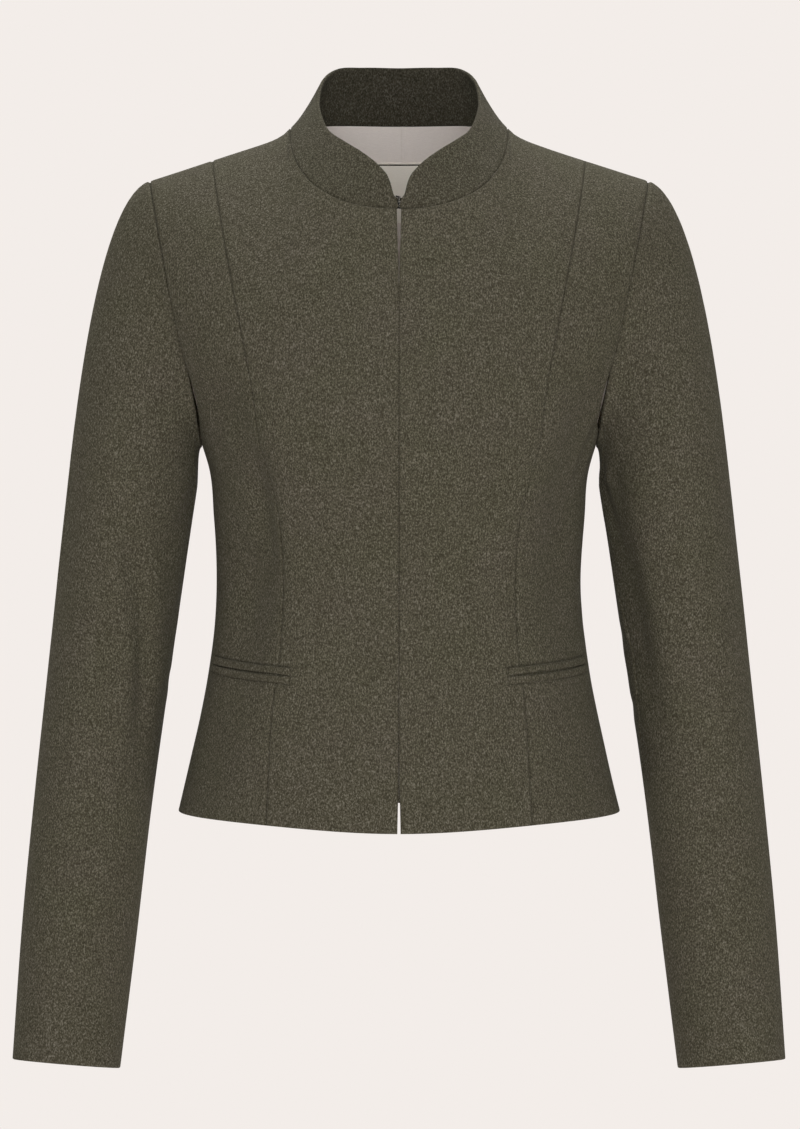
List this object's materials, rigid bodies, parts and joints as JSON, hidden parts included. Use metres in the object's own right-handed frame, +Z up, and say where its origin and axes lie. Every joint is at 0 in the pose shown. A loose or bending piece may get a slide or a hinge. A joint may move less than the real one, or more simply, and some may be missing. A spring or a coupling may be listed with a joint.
{
  "type": "trachten jacket",
  "caption": "Short fitted wool jacket with a stand collar, edge-to-edge hooked front, princess seams, jetted pockets and set-in sleeves, in its worn form.",
  "frame": {"origin": "centre of the neck base, level with the shoulder seams at the collar, where the wearer's neck and shoulders carry the jacket", "axes": "+Z up, front faces -Y, the wearer's left is +X"},
  "size_m": [0.5658, 0.2278, 0.7452],
  "materials": {
    "wool": "felted wool melange, olive brown, matt with a short nap",
    "lining": "pale warm grey lining, soft sheen",
    "label": "pale woven label, bare",
    "wire": "black enamelled wire"
  },
  "bodies": {
    "root": {"right_centre_front": "wool", "left_centre_front": "wool", "right_side_front": "wool", "left_side_front": "wool", "right_back": "wool", "left_back": "wool", "collar": "wool", "right_upper_sleeve": "wool", "right_under_sleeve": "wool", "left_upper_sleeve": "wool", "left_under_sleeve": "wool", "right_pocket_upper_jet": "wool", "right_pocket_lower_jet": "wool", "left_pocket_upper_jet": "wool", "left_pocket_lower_jet": "wool", "back_neck_lining": "lining", "neck_label": "label", "hook": "wire", "eye": "wire"}
  },
  "joints": []
}
